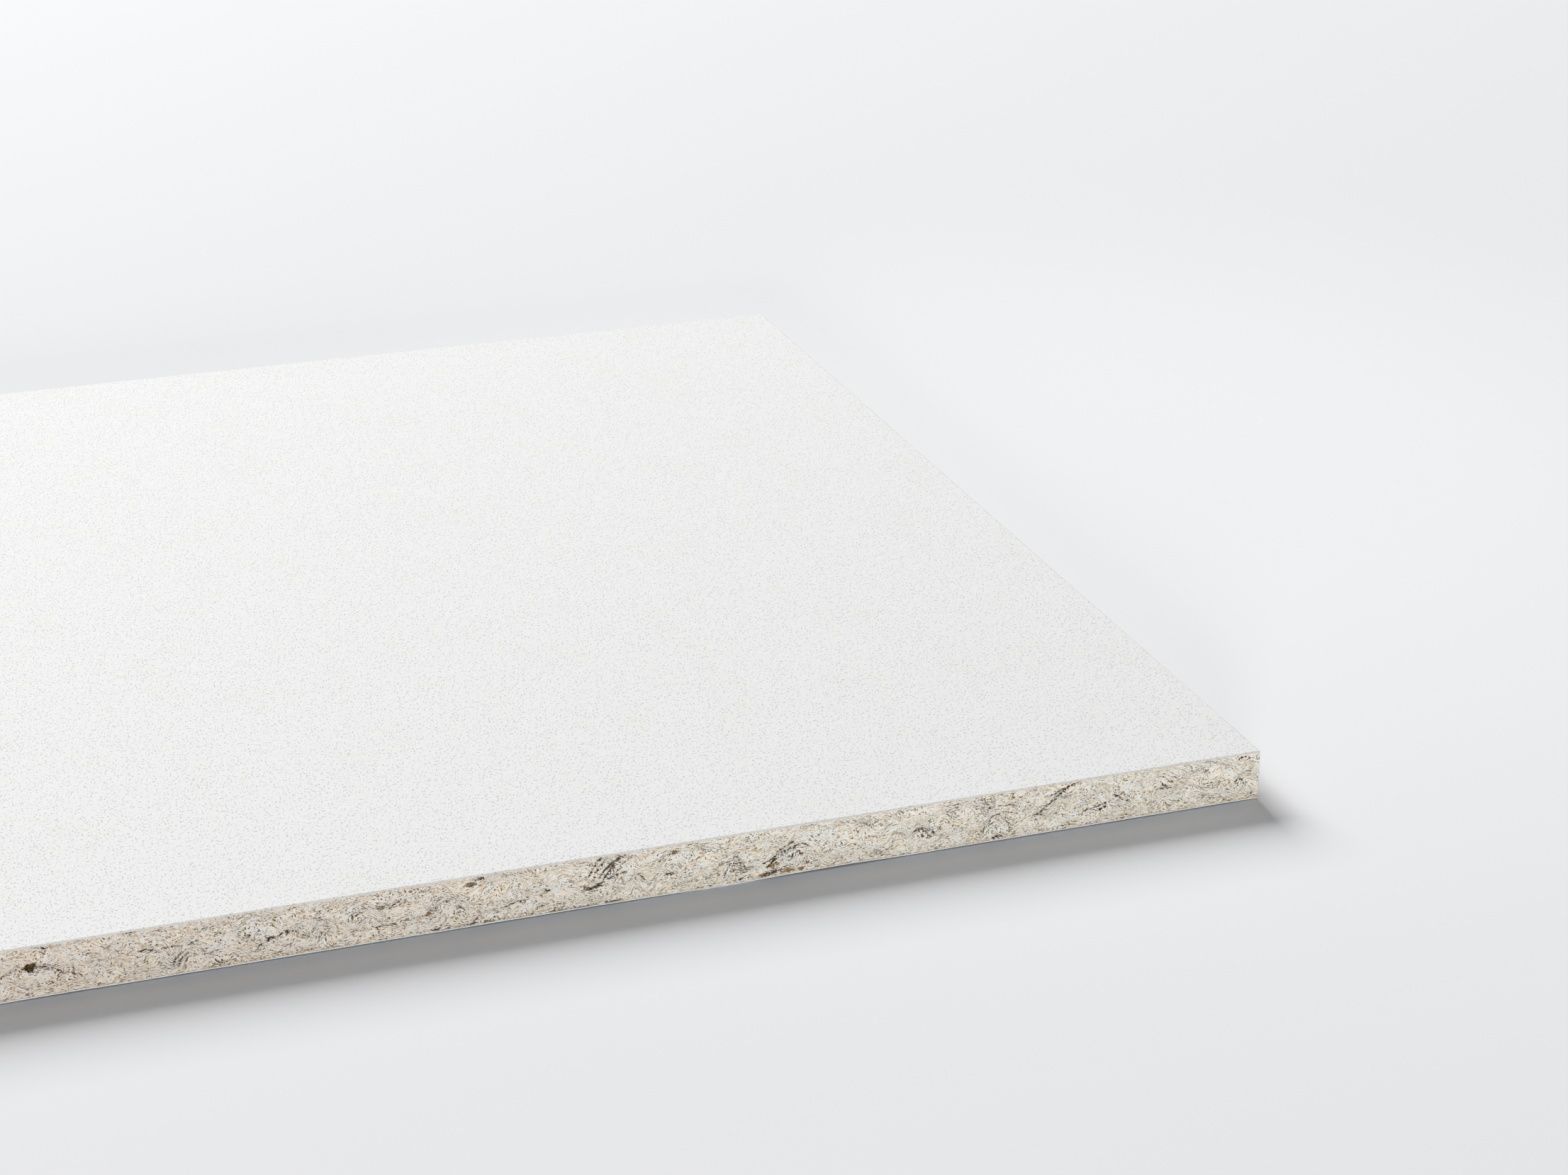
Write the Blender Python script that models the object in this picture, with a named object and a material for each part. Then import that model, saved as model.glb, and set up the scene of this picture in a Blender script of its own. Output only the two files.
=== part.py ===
"""Suspended ceiling tile for a 600 mm grid, with a plain square-cut edge.

The tile is a board of crimped stone wool. A painted glass fleece is glued to its face and a thin
plain fleece to its back. It lies on its back, with the painted face up, as it leaves the pack.

Metres, +Z up. The origin is the centre of the underside, +X runs along the front edge to the right
and +Y runs away from the front edge.
"""

import math
from typing import NamedTuple

import bmesh
import bpy
from mathutils import Matrix, Vector, noise

# The tile drops between the runners of a 600 mm grid with 2.5 mm to spare on each side.
GRID_MODULE = 0.600
GRID_PLAY = 0.0025
TILE_LENGTH = GRID_MODULE - 2 * GRID_PLAY
TILE_WIDTH = GRID_MODULE - 2 * GRID_PLAY

# The layers, from the underside up. The glue line parts each fleece from the wool.
BACK_FLEECE_THICKNESS = 0.0004
CORE_THICKNESS = 0.0195
FACE_FLEECE_THICKNESS = 0.0005
GLUE_LINE = 0.0001

# The paint rounds the upper rim of the face fleece a little.
FACE_RIM_ROUNDING = 0.0002
FACE_RIM_FACETS = 2

# The crimped wool shows on each cut edge as folded layers, bulging between shallow grooves.
WOOL_LAYERS = 5
FACETS_ALONG_EDGE = 125
CREST_RECESS = 0.0002
GROOVE_RECESS = 0.0008
CUT_UNEVENNESS = 1.2
UNEVENNESS_LENGTH = 0.011

# Each fold lifts or drops the layers, most of all at mid height, and leans over as it rises.
FOLD_RISE = 0.0065
FOLD_LENGTH = 0.017
FOLD_LEAN = 0.012


class Pocket(NamedTuple):
    """A hollow in the front edge, where the wool layers don't meet."""

    name: str
    from_end: float
    end: int
    below_face: float
    length: float
    height: float
    depth: float
    tilt: float


LEFT_END = -1
RIGHT_END = 1
POCKETS = (
    Pocket("void_under_fold", 0.1245, LEFT_END, 0.0082, 0.0062, 0.0028, 0.0035, math.radians(12)),
    Pocket("crack_beside_void", 0.1330, LEFT_END, 0.0105, 0.0094, 0.0008, 0.0022, math.radians(-24)),
    Pocket("loose_wool_pit", 0.2085, LEFT_END, 0.0118, 0.0060, 0.0024, 0.0026, math.radians(22)),
    Pocket("small_loose_pit", 0.2145, LEFT_END, 0.0102, 0.0034, 0.0014, 0.0020, math.radians(-8)),
    Pocket("split_at_back", 0.2660, RIGHT_END, 0.0119, 0.0110, 0.0007, 0.0018, math.radians(24)),
    Pocket("resin_lens", 0.1960, RIGHT_END, 0.0180, 0.0130, 0.0013, 0.0024, math.radians(9)),
    Pocket("slanting_split", 0.0585, RIGHT_END, 0.0107, 0.0066, 0.0008, 0.0020, math.radians(-33)),
)
POCKET_FACETS = 2

CORE_BASE = BACK_FLEECE_THICKNESS + GLUE_LINE
FACE_BASE = CORE_BASE + CORE_THICKNESS + GLUE_LINE


def clear_scene():
    """Remove every object that the file opened with."""
    for obj in list(bpy.data.objects):
        bpy.data.objects.remove(obj, do_unlink=True)


def matt_material(name, colour, roughness):
    """Return a plain non-metallic material."""
    material = bpy.data.materials.new(name)
    material.use_nodes = True
    shader = material.node_tree.nodes["Principled BSDF"]
    shader.inputs["Base Color"].default_value = (*colour, 1.0)
    shader.inputs["Roughness"].default_value = roughness
    shader.inputs["Metallic"].default_value = 0.0
    material.diffuse_color = (*colour, 1.0)
    return material


def add_object(name, mesh_builder, material, height, parent):
    """Turn a bmesh into a named object that stands at the given height above the underside."""
    mesh = bpy.data.meshes.new(name)
    mesh_builder.to_mesh(mesh)
    mesh_builder.free()
    mesh.materials.append(material)
    obj = bpy.data.objects.new(name, mesh)
    bpy.context.scene.collection.objects.link(obj)
    obj.parent = parent
    obj.location = (0.0, 0.0, height)
    return obj


def perimeter(length, width, facets):
    """Return the points around a rectangle, with the same number of facets on each side."""
    corners = [
        Vector((-length / 2, -width / 2)),
        Vector((length / 2, -width / 2)),
        Vector((length / 2, width / 2)),
        Vector((-length / 2, width / 2)),
    ]
    points = []
    for start, end in zip(corners, corners[1:] + corners[:1]):
        points += [start.lerp(end, step / facets) for step in range(facets)]
    return points


def fold_height(point, share_up):
    """Return how far the layers rise at a point of the cut edge, dying out at the two flat sides."""
    lean = FOLD_LEAN * share_up
    spot = Vector((point.x + lean, point.y + lean, 0.0)) / FOLD_LENGTH
    return FOLD_RISE * noise.noise(spot) * math.sin(math.pi * share_up)


def cut_recess(point, ring):
    """Return how far a ring of the cut edge stands back from the saw line at a point."""
    is_crest = ring % 2 == 1
    recess = CREST_RECESS if is_crest else GROOVE_RECESS
    spot = Vector((point.x, point.y, ring * UNEVENNESS_LENGTH)) / UNEVENNESS_LENGTH
    return recess * max(0.0, 1 + CUT_UNEVENNESS * noise.noise(spot))


def wool_ring(builder, outline, ring, rings):
    """Add one ring of the cut edge to the builder and return its edges in order."""
    share_up = ring / rings
    at_flat_side = ring in (0, rings)
    verts = []
    for point in outline:
        recess = cut_recess(point, 1 if at_flat_side else ring)
        x = point.x * (1 - 2 * recess / TILE_LENGTH)
        y = point.y * (1 - 2 * recess / TILE_WIDTH)
        z = CORE_THICKNESS * share_up + fold_height(point, share_up)
        verts.append(builder.verts.new((x, y, z)))
    return [builder.edges.new(pair) for pair in zip(verts, verts[1:] + verts[:1])]


def build_core():
    """Return the stone wool board, lofted through the rings of its folded layers."""
    builder = bmesh.new()
    outline = perimeter(TILE_LENGTH, TILE_WIDTH, FACETS_ALONG_EDGE)
    rings = 2 * WOOL_LAYERS
    loops = [wool_ring(builder, outline, ring, rings) for ring in range(rings + 1)]
    for lower, upper in zip(loops, loops[1:]):
        bmesh.ops.bridge_loops(builder, edges=lower + upper)
    for loop in (loops[0], loops[-1]):
        flat_side = bmesh.ops.contextual_create(builder, geom=loop)["faces"]
        bmesh.ops.poke(builder, faces=flat_side)
    bmesh.ops.recalc_face_normals(builder, faces=builder.faces)
    return builder


def build_fleece(thickness):
    """Return a flat fleece that covers the whole board."""
    builder = bmesh.new()
    bmesh.ops.create_cube(builder, size=1.0)
    bmesh.ops.translate(builder, vec=(0.0, 0.0, 0.5), verts=builder.verts)
    bmesh.ops.scale(builder, vec=(TILE_LENGTH, TILE_WIDTH, thickness), verts=builder.verts)
    return builder


def round_upper_rim(builder, radius, facets):
    """Round the four edges round the top of a fleece."""
    top = max(vert.co.z for vert in builder.verts)
    rim = [edge for edge in builder.edges if all(vert.co.z == top for vert in edge.verts)]
    bmesh.ops.bevel(
        builder,
        geom=rim,
        offset=radius,
        segments=facets,
        profile=0.5,
        affect="EDGES",
    )


def pocket_cutter(pocket, parent):
    """Return the helper solid that hollows one pocket out of the front edge."""
    builder = bmesh.new()
    bmesh.ops.create_icosphere(builder, subdivisions=POCKET_FACETS, radius=1.0)
    size = Matrix.Diagonal((pocket.length / 2, pocket.depth, pocket.height / 2, 1.0))
    bmesh.ops.transform(builder, matrix=size, verts=builder.verts)
    mesh = bpy.data.meshes.new(pocket.name)
    builder.to_mesh(mesh)
    builder.free()
    cutter = bpy.data.objects.new("cutter_" + pocket.name, mesh)
    bpy.context.scene.collection.objects.link(cutter)
    cutter.parent = parent
    cutter.location = (
        pocket.end * (TILE_LENGTH / 2 - pocket.from_end),
        -TILE_WIDTH / 2,
        FACE_BASE + FACE_FLEECE_THICKNESS - pocket.below_face,
    )
    cutter.rotation_euler = (0.0, -pocket.tilt, 0.0)
    cutter.hide_render = True
    cutter.display_type = "WIRE"
    return cutter


def hollow_pockets(core, parent):
    """Cut every pocket into the board."""
    for pocket in POCKETS:
        cut = core.modifiers.new(pocket.name, "BOOLEAN")
        cut.operation = "DIFFERENCE"
        cut.solver = "EXACT"
        cut.object = pocket_cutter(pocket, parent)


def build_tile():
    """Build the three layers of the tile under one parent."""
    clear_scene()
    tile = bpy.data.objects.new("ceiling_tile", None)
    bpy.context.scene.collection.objects.link(tile)

    wool = matt_material("stone_wool", (0.55, 0.49, 0.40), 0.95)
    paint = matt_material("white_face_paint", (0.86, 0.86, 0.86), 0.85)
    tissue = matt_material("back_tissue", (0.66, 0.63, 0.57), 0.9)

    core = add_object("stone_wool_core", build_core(), wool, CORE_BASE, tile)
    hollow_pockets(core, tile)

    face = build_fleece(FACE_FLEECE_THICKNESS)
    round_upper_rim(face, min(FACE_RIM_ROUNDING, FACE_FLEECE_THICKNESS), FACE_RIM_FACETS)
    add_object("painted_face_fleece", face, paint, FACE_BASE, tile)

    add_object("back_fleece", build_fleece(BACK_FLEECE_THICKNESS), tissue, 0.0, tile)


build_tile()
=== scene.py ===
"""Looks of a lay-in suspended ceiling tile: painted fleece on a board of crimped stone wool.

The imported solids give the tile's size and place. Each of them is replaced here by a finely made
piece of the same size: the wool core with its folded, pitted cut edges, the painted fleece on
the face and the thin fleece on the back. Wool details are in millimetres, all else in metres.
"""

import logging
import math
from dataclasses import dataclass, field
from enum import Enum
from typing import Any, Iterable, Sequence, TypeVar

import bpy
import numpy as np
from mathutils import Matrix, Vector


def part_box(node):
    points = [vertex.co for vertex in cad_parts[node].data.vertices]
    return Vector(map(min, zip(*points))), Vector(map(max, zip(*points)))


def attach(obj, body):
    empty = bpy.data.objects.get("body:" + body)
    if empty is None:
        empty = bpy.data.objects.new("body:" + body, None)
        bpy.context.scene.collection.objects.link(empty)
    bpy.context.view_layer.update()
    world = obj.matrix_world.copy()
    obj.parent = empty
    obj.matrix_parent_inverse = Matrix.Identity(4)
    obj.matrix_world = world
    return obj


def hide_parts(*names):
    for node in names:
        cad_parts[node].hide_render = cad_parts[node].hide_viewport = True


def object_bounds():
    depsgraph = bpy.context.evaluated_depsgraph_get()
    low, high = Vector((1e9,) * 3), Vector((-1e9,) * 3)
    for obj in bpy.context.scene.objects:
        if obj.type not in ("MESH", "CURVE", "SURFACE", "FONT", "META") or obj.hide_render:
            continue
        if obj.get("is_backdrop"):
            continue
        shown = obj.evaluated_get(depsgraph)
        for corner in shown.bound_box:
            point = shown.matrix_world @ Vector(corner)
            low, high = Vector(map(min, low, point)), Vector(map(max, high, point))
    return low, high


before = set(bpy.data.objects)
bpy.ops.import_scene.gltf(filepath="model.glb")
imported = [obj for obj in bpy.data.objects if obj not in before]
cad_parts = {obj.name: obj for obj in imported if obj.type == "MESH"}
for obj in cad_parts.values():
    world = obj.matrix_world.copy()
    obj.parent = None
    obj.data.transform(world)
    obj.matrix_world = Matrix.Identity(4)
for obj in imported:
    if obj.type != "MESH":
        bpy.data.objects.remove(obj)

LOG = logging.getLogger("ceiling_tile")
CAD_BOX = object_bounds()
MM = 0.001
Array = np.ndarray
Socket = bpy.types.NodeSocket
Span = tuple[float, float]
Triple = tuple[float, float, float]
Colour = tuple[float, float, float, float]
Place = TypeVar("Place")


def srgb(red: float, green: float, blue: float) -> Colour:
    """Turn a screen colour into the linear colour that shaders use.

    Args:
        red: red, from 0 to 255.
        green: green, from 0 to 255.
        blue: blue, from 0 to 255.

    Returns:
        The linear colour with full alpha.
    """

    def linear(part: float) -> float:
        """Undo the screen's curve for one part of the colour."""
        share = part / 255
        return share / 12.92 if share <= 0.04045 else ((share + 0.055) / 1.055) ** 2.4

    return linear(red), linear(green), linear(blue), 1.0


def soft_step(values: Array, low: float, high: float) -> Array:
    """Rise smoothly from 0 at low to 1 at high.

    Args:
        values: what to test.
        low: where the rise starts.
        high: where it ends; it may lie below low, for a fall.

    Returns:
        Shares from 0 to 1.
    """
    share = np.clip((values - low) / (high - low), 0.0, 1.0)
    return share * share * (3 - 2 * share)


class SmoothNoise:
    """Gradient noise on arrays of points, the same on each run."""

    CELLS = 256

    def __init__(self, seed: int) -> None:
        """Draw the lattice's slopes.

        Args:
            seed: number that sets the pattern.
        """
        rng = np.random.default_rng(seed)
        self._order = np.tile(rng.permutation(self.CELLS), 2)
        angles = rng.uniform(0, 2 * math.pi, self.CELLS)
        self._slopes = np.stack([np.cos(angles), np.sin(angles)], axis=-1)

    def at(self, x: Array, y: Array) -> Array:
        """Read the noise.

        Args:
            x: first coordinates, in cells.
            y: second coordinates, in cells.

        Returns:
            Values from about -1 to 1.
        """
        x, y = np.broadcast_arrays(x, y)
        left, low = np.floor(x).astype(int), np.floor(y).astype(int)
        across, up = x - left, y - low

        def corner(step_x: int, step_y: int) -> Array:
            """Return the pull of one corner of each cell."""
            first = self._order[(left + step_x) % self.CELLS]
            slope = self._slopes[self._order[first + (low + step_y) % self.CELLS]]
            return slope[..., 0] * (across - step_x) + slope[..., 1] * (up - step_y)

        ease_x = across ** 3 * (across * (across * 6 - 15) + 10)
        ease_y = up ** 3 * (up * (up * 6 - 15) + 10)
        lower = corner(0, 0) * (1 - ease_x) + corner(1, 0) * ease_x
        upper = corner(0, 1) * (1 - ease_x) + corner(1, 1) * ease_x
        return 1.5 * (lower * (1 - ease_y) + upper * ease_y)


def waves(seed: int, x: Array, y: Array, cell: Span) -> Array:
    """Return the noise of a seed at some places, for cells of a given size."""
    return SmoothNoise(seed).at(x / cell[0], y / cell[1])


class Recipe:
    """A material under construction, with short ways to add and link its nodes."""

    def __init__(self, name: str) -> None:
        """Start a material with a Principled shader.

        Args:
            name: the material's name.
        """
        self.material = bpy.data.materials.new(name)
        self.material.use_nodes = True
        self._tree = self.material.node_tree
        self.shader = self._tree.nodes["Principled BSDF"]

    def add(self, kind: str, inputs: dict[Any, Any], **settings: Any) -> bpy.types.Node:
        """Add a node.

        Args:
            kind: the node's type name without its ShaderNode prefix.
            inputs: values or sockets for the node's inputs, by name or number.
            settings: the node's own options.

        Returns:
            The new node.
        """
        node = self._tree.nodes.new("ShaderNode" + kind)
        for option, value in settings.items():
            setattr(node, option, value)
        self.feed(node, inputs)
        return node

    def feed(self, node: bpy.types.Node, inputs: dict[Any, Any]) -> None:
        """Set or link a node's inputs.

        Args:
            node: the node.
            inputs: values or sockets, by name or number.
        """
        for key, value in inputs.items():
            if isinstance(value, Socket):
                self._tree.links.new(value, node.inputs[key])
            else:
                node.inputs[key].default_value = value

    def attribute(self, name: str, output: str = "Fac") -> Socket:
        """Return the socket of a mesh attribute."""
        return self.add("Attribute", {}, attribute_name=name).outputs[output]

    def place(self) -> Socket:
        """Return the socket of the place on the piece, in metres."""
        return self.add("TexCoord", {}).outputs["Object"]

    def finished(self, **looks: Any) -> bpy.types.Material:
        """Set the shader's inputs, with _ for blanks in their names, and return the material."""
        self.feed(self.shader, {name.replace("_", " "): value for name, value in looks.items()})
        return self.material

    def noise(
        self, spot: Socket, grain: Triple, detail: float = 2.0, shift: float = 0.0
    ) -> Socket:
        """Add a noise whose grains have a given size.

        Args:
            spot: socket with the place on the surface.
            grain: length of a grain along each axis, in the spot's units.
            detail: how many finer layers it has.
            shift: moves the pattern, so that two noises differ.

        Returns:
            The socket of its value.
        """
        scale = [1 / size for size in grain]
        place = self.add("Mapping", {"Vector": spot, "Location": (shift,) * 3, "Scale": scale})
        inputs = {"Vector": place.outputs[0], "Scale": 1.0, "Detail": detail}
        return self.add("TexNoise", inputs).outputs[0]

    def band(self, value: Any, low: float, high: float) -> Socket:
        """Turn a value into a share that rises smoothly from 0 at low to 1 at high."""
        ends = {0: value, 1: low, 2: high, 3: 0.0, 4: 1.0}
        return self.add("MapRange", ends, interpolation_type="SMOOTHSTEP").outputs[0]

    def sums(self, operation: str, first: Any, second: Any = 0.0, third: Any = 0.0) -> Socket:
        """Work out one sum, such as MULTIPLY, on values or sockets."""
        inputs = {0: first, 1: second, 2: third}
        return self.add("Math", inputs, operation=operation).outputs[0]

    def blend(self, share: Any, first: Any, second: Any, way: str = "MIX") -> Socket:
        """Mix two colours or colour sockets by a share, or in another named way."""
        inputs = {0: share, 6: first, 7: second}
        return self.add("Mix", inputs, data_type="RGBA", blend_type=way).outputs[2]

    def bump(self, height: Socket, depth: float) -> Socket:
        """Turn a height from 0 to 1 into a bump of a real depth, in metres."""
        return self.add("Bump", {"Height": height, "Distance": depth, "Strength": 1.0}).outputs[0]


class Side(Enum):
    """The four cut edges, in order round the board from its front left corner."""

    FRONT = 0
    RIGHT = 1
    BACK = 2
    LEFT = 3


@dataclass(frozen=True)
class Swirl:
    """Wool that has curled over. Millimetres and degrees."""

    along: float
    below: float
    radius: float
    turn: float

    def curl(self, along: Array, below: Array) -> tuple[Array, Array]:
        """Turn the places near the swirl's centre.

        Args:
            along: distances from the side's left end.
            below: distances below the face.

        Returns:
            The turned places.
        """
        east, south = along - self.along, below - self.below
        near = soft_step(np.hypot(east, south), self.radius, 0.0)
        angle = math.radians(self.turn) * near
        turned = east * np.cos(angle) - south * np.sin(angle)
        sunk = east * np.sin(angle) + south * np.cos(angle)
        return self.along + turned, self.below + sunk


@dataclass(frozen=True)
class Patch:
    """An oval place in the wool. Millimetres and degrees."""

    along: float
    below: float
    length: float
    height: float
    tilt: float = 0.0
    depth: float = 0.0

    def reach(self, along: Array, below: Array) -> Array:
        """Measure how far places are from the centre.

        Args:
            along: distances from the side's left end.
            below: distances below the face.

        Returns:
            The distances, as shares of the oval's radius.
        """
        east, south = along - self.along, below - self.below
        slope = math.radians(self.tilt)
        main = east * math.cos(slope) - south * math.sin(slope)
        cross = east * math.sin(slope) + south * math.cos(slope)
        return np.hypot(2 * main / self.length, 2 * cross / self.height)


@dataclass(frozen=True)
class Crack:
    """A thin gap between two folds, along points given by x and y in turn. Millimetres."""

    points: Sequence[float]
    width: float
    depth: float = 0.6

    def reach(self, along: Array, below: Array) -> Array:
        """Measure how far places are from the crack.

        Args:
            along: distances from the side's left end.
            below: distances below the face.

        Returns:
            The distances.
        """
        nearest = np.full(np.shape(along), np.inf)
        spots = list(zip(self.points[::2], self.points[1::2]))
        for (x0, y0), (x1, y1) in zip(spots, spots[1:]):
            run, fall = x1 - x0, y1 - y0
            share = ((along - x0) * run + (below - y0) * fall) / (run * run + fall * fall)
            share = np.clip(share, 0.0, 1.0)
            distance = np.hypot(along - x0 - share * run, below - y0 - share * fall)
            nearest = np.minimum(nearest, distance)
        return nearest


@dataclass(frozen=True)
class EdgeWool:
    """What shows on one cut edge. Places are in millimetres, from its left end and its face."""

    swirls: Sequence[Swirl]
    hollows: Sequence[Patch]
    cracks: Sequence[Crack]
    pale: Sequence[Patch]
    dense: Sequence[Patch]
    resin: Sequence[Patch]


def each(kind: type[Place], rows: Iterable[Sequence[Any]]) -> list[Place]:
    """Make a place of one kind from each row of its values."""
    return [kind(*row) for row in rows]


# The front edge, as the photograph shows it.
FRONT_WOOL = EdgeWool(
    swirls=each(Swirl, (
        (118, 15, 6, 44), (137, 4, 4, -64), (146, 13, 7, 48), (156, 8, 5, -68), (178, 13, 8, 64),
        (191, 17, 5, -56), (201, 6, 6, 40), (225, 13, 8, 60), (246, 12, 7, -44), (270, 10, 8, 56),
        (300, 8, 7, -52), (316, 15, 6, 48), (331, 7, 9, 60), (345, 14, 7, -56), (364, 12, 7, 48),
        (381, 13, 8, -60), (405, 12, 8, 68), (433, 6, 6, -48), (443, 14, 6, 44), (456, 12, 7, -68),
        (471, 7, 6, 48), (486, 14, 9, -64), (507, 8, 8, 44), (531, 8, 7, -48), (551, 14, 7, 48),
        (572, 8, 7, -40), (587, 13, 7, 60),
    )),
    hollows=each(Patch, (
        (126.2, 8.2, 5.2, 2.3, 6, 1.3), (126.1, 9.3, 2, 2.2, 20, 1),
        (208.5, 12.4, 2.8, 1.1, 28, 1), (205, 14.2, 1.9, 1, 15, 1), (214.9, 10.5, 1.7, 1.1, 10, 1),
        (285.3, 1.7, 1.6, 0.8, 0, 0.8), (299.6, 13.5, 2.2, 0.7, -8, 0.9),
        (309.3, 10.9, 2.2, 0.8, 10, 1.2), (314, 19.6, 4, 0.5, 0, 0.8),
        (326.5, 12.7, 4.2, 0.6, 6, 0.9), (355.2, 12.2, 2.6, 0.8, 0, 1.4),
        (394.5, 18.5, 4.6, 0.6, 14, 0.9), (485.3, 18.8, 3.6, 0.7, 0, 1.2),
        (516, 1.9, 3, 0.8, 8, 1.3),
    )),
    cracks=each(Crack, (
        ((116.3, 10.8, 119, 9.2, 123, 8.5), 0.24),
        ((128.4, 8.4, 132, 9.2, 135.3, 10.8, 137.2, 12.4), 0.3),
        ((137.2, 12.4, 140, 12.8, 143.3, 14.5), 0.18), ((130.5, 1.3, 132, 2.5), 0.3),
        ((158.5, 1.2, 162.5, 1.5), 0.3), ((162.3, 9.2, 165.3, 8.7, 168, 9.2, 170, 10.6), 0.24),
        ((171, 9.3, 174.5, 9.1, 178.5, 9.6), 0.24), ((180.5, 9.3, 183.7, 8.2), 0.24),
        ((189, 7.8, 191.7, 6.6), 0.3), ((211.5, 12, 214, 10.2, 217.3, 10.8, 218.7, 11.8), 0.24),
        ((244.3, 15.2, 248.3, 14.4, 253.7, 14.2, 258.3, 13.3), 0.18),
        ((251.7, 7.8, 255.7, 5.2), 0.18), ((281.7, 18.5, 284.3, 16.8, 285.7, 17.8), 0.24),
        ((293.3, 14.8, 295.7, 14.2, 298.7, 13.3), 0.24),
        ((305, 17.8, 307, 16.8, 308.3, 17.5), 0.24),
        ((323, 12.2, 326.3, 12.8, 331.7, 10.2, 335, 9.2, 339.7, 8.2), 0.3),
        ((325, 7.8, 326.3, 5.8, 328.3, 2.5, 329.7, 1.2), 0.3),
        ((329, 9.2, 331, 6.5, 333, 4.5, 335.7, 2.8, 339, 1.8), 0.36),
        ((374.3, 11.8, 376, 11.2, 378.7, 11.2), 0.24),
        ((391.3, 14.5, 394, 13.3, 397.3, 11.2, 400.7, 10.2), 0.3),
        ((400.7, 10.2, 403.3, 9.2, 406.7, 8.5, 409.3, 9.5), 0.24),
        ((396.7, 10.5, 398.7, 9.2, 402, 7.5, 404, 7.2), 0.18),
        ((451.3, 11.2, 452.7, 10, 455.3, 10.4, 458, 11.8, 460, 13.5), 0.18),
        ((480.3, 6.5, 483.7, 5.8, 490.3, 6.2, 493.7, 7.5), 0.14),
        ((499.7, 12.5, 503, 11.2, 506.3, 8.5, 509.7, 5.8, 514, 2.4), 0.24),
        ((533, 9.2, 535, 9.8, 537, 11.5, 539.7, 12.8), 0.36),
        ((550.3, 9.5, 553.7, 9.5, 556, 10), 0.18), ((584.3, 12.2, 587, 10.5, 589.7, 14.5), 0.16),
        ((586, 2.4, 588, 1.3, 590.3, 2.2), 0.3), ((331, 2.5, 328.5, 5.5, 327, 8.8), 0.2, 0.5),
        ((337, 1.6, 334.5, 4.2, 332.5, 7.4, 330.5, 10), 0.26),
        ((341, 2.8, 338, 4.8, 335.5, 7.8), 0.18, 0.4),
        ((342, 9.5, 344.5, 10.6, 345.6, 13), 0.16, 0.4),
        ((393, 16, 396, 13.2, 399.5, 11.6), 0.16, 0.4),
        ((402.3, 14, 403.4, 11.9, 405.8, 11.2), 0.2, 0.4),
        ((404.6, 14.6, 405.6, 12.8, 408, 11.8), 0.16, 0.4),
        ((174.5, 16.6, 175.4, 14, 178, 11.8), 0.2, 0.4),
        ((176.4, 16.9, 177.4, 14.6, 180, 12.3), 0.16, 0.4),
        ((178.4, 17, 179.4, 15, 182, 13.2), 0.12, 0.4),
        ((376, 17.2, 378, 13.4, 380.7, 9), 0.1, 0.3), ((386, 17.8, 383.6, 13, 380.7, 9), 0.1, 0.3),
        ((381.6, 19.3, 383.7, 18.6, 386, 18.9), 0.26, 0.5),
        ((480.5, 13.6, 483, 9.9, 488, 8.7, 493, 10.3), 0.1, 0.3),
        ((504.6, 5.4, 508.3, 4.7, 512, 2.9), 0.2, 0.4),
        ((520.5, 14, 525, 12.9, 531.7, 11.3), 0.14, 0.4),
        ((525.3, 15, 528, 14, 531, 12.9), 0.16, 0.4),
        ((262, 19.5, 268, 19.3, 273, 19.6), 0.1, 0.4),
        ((275, 19.5, 281, 19.3, 289, 19.4), 0.24, 0.5), ((298, 19.5, 304, 19.3), 0.14, 0.4),
        ((318, 19.4, 323, 19.6, 328, 19.4), 0.18, 0.5), ((331, 19.5, 337, 19.4), 0.22, 0.5),
    )),
    pale=each(Patch, (
        (129.5, 11.8, 14, 4.6, -10), (205.3, 8.5, 14, 6.5), (190.5, 11.5, 8, 7),
        (262, 17.5, 12, 3), (301.5, 16, 8, 4), (315, 9, 12, 5, 20), (361, 5.8, 8, 7),
        (401, 12, 11, 5, 25), (414, 5.8, 20, 6), (452.5, 16.5, 8, 3), (539, 5.5, 7, 5),
        (583, 8.5, 8, 5, 20),
    )),
    dense=each(Patch, (
        (133, 11.3, 7, 3.4, -25), (160.5, 1.2, 6, 2), (155.5, 8, 5, 4), (178, 13, 10, 8, 30),
        (190.5, 17.2, 10, 4), (207.3, 12.8, 13, 6, 25), (216.8, 11.2, 8, 4.5), (226, 6, 9, 6),
        (225, 14, 11, 6, -20), (238, 8.5, 13, 8), (249, 7.2, 6, 3), (271, 10.8, 24, 11),
        (281.5, 3.2, 8, 4), (286.5, 19.2, 9, 2), (331.5, 6.5, 19, 9, 40), (333, 19.4, 12, 1.8),
        (356, 4, 6, 5), (381, 14.2, 13, 9), (397.5, 17.6, 16, 4, 6), (404, 11.5, 12, 8, 20),
        (433.3, 4.5, 6, 4), (452.7, 2.8, 12, 4), (455.5, 12, 11, 6), (467, 6.2, 8, 5),
        (479, 6.5, 9, 6), (486, 14.5, 14, 9), (507, 7.5, 18, 5.5, 38), (526.5, 13.2, 14, 5, 8),
        (572, 2.4, 10, 3), (587, 13, 7, 6),
    )),
    resin=each(Patch, (
        (395, 15.3, 6, 2.4, 14), (401.2, 18.4, 7, 2.4, -4), (391.5, 18.6, 7, 1.6, 14),
        (409, 16.6, 2.6, 1.6), (406, 18.4, 4, 1.6), (248.7, 7.2, 3.6, 1.6), (265.7, 12.6, 4, 1.8),
        (281, 3.4, 6, 2.4), (334.7, 19.4, 7, 1), (357.2, 3.6, 3, 2), (365, 19.8, 20, 1),
    )),
)


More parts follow.
